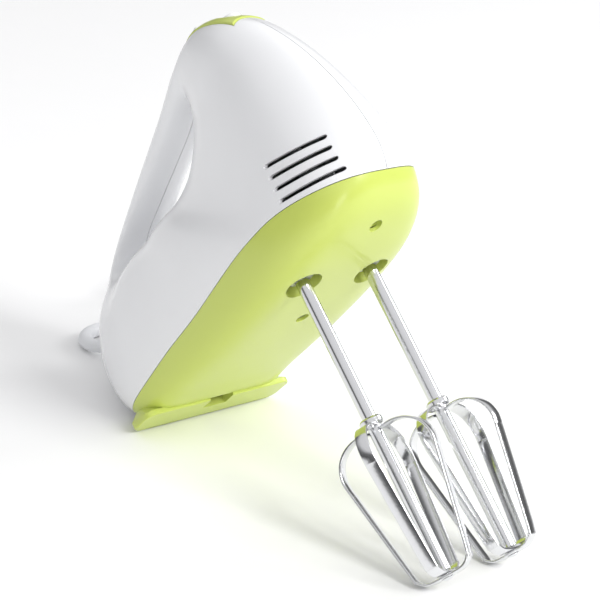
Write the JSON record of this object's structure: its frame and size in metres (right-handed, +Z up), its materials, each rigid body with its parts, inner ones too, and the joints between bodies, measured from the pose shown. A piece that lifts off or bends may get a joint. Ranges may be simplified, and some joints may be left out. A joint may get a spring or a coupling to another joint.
{
  "type": "hand mixer",
  "caption": "Hand mixer with a closed-loop handle, white housing over a green base, chromed strip beaters on a worm drive, and a mains lead with a plug.",
  "frame": {"origin": "centre of the bounding box on the worktop, without the free lead, its coil and its plug", "axes": "+Z up from the worktop, -Y the way the nose and beaters point, +X the mixer's left side"},
  "size_m": [0.1619, 0.3005, 0.1862],
  "materials": {
    "white_shell": "high gloss moulded",
    "green_shell": "high gloss moulded",
    "white_flex": "soft vinyl",
    "tie": "matt",
    "pins": "nickel plated",
    "chrome": "polished",
    "steel": "bright zinc",
    "core": "laminated",
    "copper": "enamelled wire",
    "bronze": "sintered",
    "frame_plastic": "moulded",
    "nylon": "natural",
    "dark_plastic": "moulded",
    "slider_plastic": "moulded",
    "film": "dipped"
  },
  "bodies": {
    "housing": {"housing_left": "white_shell", "housing_right": "white_shell", "base_shell": "green_shell", "control_panel": "green_shell", "eject_spring": "steel", "switch_body": "dark_plastic", "switch_contacts": "bronze", "capacitor": "film", "gear_plate": "frame_plastic", "gear_cover": "frame_plastic", "gear_bushes": "bronze", "motor_bushes": "bronze", "stator_core": "core", "field_coils": "copper", "brush_holders": "bronze", "brushes": "dark_plastic", "rear_bracket": "frame_plastic", "motor_foot": "frame_plastic", "motor_screws": "steel", "base_screws": "steel", "housing_screws": "steel", "gear_screws": "steel", "cord_guard": "white_flex", "cord_anchor": "frame_plastic", "cord_clamp": "frame_plastic", "clamp_screws": "steel", "cord": "white_flex", "cord_coil": "white_flex", "cord_tail": "white_flex", "cord_tie": "tie", "plug_body": "white_flex", "plug_pins": "pins"},
    "rotor": {"rotor_shaft": "steel", "worm": "steel", "fan": "dark_plastic", "armature_core": "core", "armature_windings": "copper", "commutator": "copper"},
    "spindle_left": {"spindle_left": "steel", "wheel_left": "nylon"},
    "spindle_right": {"spindle_right": "steel", "wheel_right": "nylon"},
    "beater_left": {"beater_shaft_left": "chrome", "beater_outer_left": "chrome", "beater_inner_left": "chrome", "beater_collar_left": "chrome", "beater_rivet_left": "chrome"},
    "beater_right": {"beater_shaft_right": "chrome", "beater_outer_right": "chrome", "beater_inner_right": "chrome", "beater_collar_right": "chrome", "beater_rivet_right": "chrome"},
    "speed_control": {"speed_knob": "white_shell", "switch_slider": "slider_plastic"},
    "ejector": {"eject_button": "white_shell", "ejector_plate": "steel"}
  },
  "joints": [
    {"name": "rotor_spin", "type": "hinge", "parent": "housing", "child": "rotor", "pos_m": [0, 0.00087, 0.10734], "axis": [0, -0.6516, 0.7586], "continuous": true},
    {"name": "spindle_left_spin", "type": "hinge", "parent": "housing", "child": "spindle_left", "pos_m": [0.019, 0.00087, 0.10734], "axis": [0, 0.7586, 0.6516], "continuous": true},
    {"name": "spindle_right_spin", "type": "hinge", "parent": "housing", "child": "spindle_right", "pos_m": [-0.019, 0.00087, 0.10734], "axis": [0, 0.7586, 0.6516], "continuous": true},
    {"name": "beater_left_pull", "type": "slide", "parent": "spindle_left", "child": "beater_left", "axis": [0, -0.7586, -0.6516], "range_m": [0, 0.045]},
    {"name": "beater_right_pull", "type": "slide", "parent": "spindle_right", "child": "beater_right", "axis": [0, -0.7586, -0.6516], "range_m": [0, 0.045]},
    {"name": "speed_slide", "type": "slide", "parent": "housing", "child": "speed_control", "axis": [0, -0.4949, 0.869], "range_m": [0, 0.007]},
    {"name": "eject_press", "type": "slide", "parent": "housing", "child": "ejector", "axis": [0, -0.7586, -0.6516], "range_m": [0, 0.005], "stiffness_N_per_m": 500, "springref_m": -0.003, "deforming": ["eject_spring"]}
  ],
  "couplings": [
    {"joint": "spindle_left_spin", "follows": "rotor_spin", "ratio": -0.055556},
    {"joint": "spindle_right_spin", "follows": "rotor_spin", "ratio": 0.055556}
  ]
}
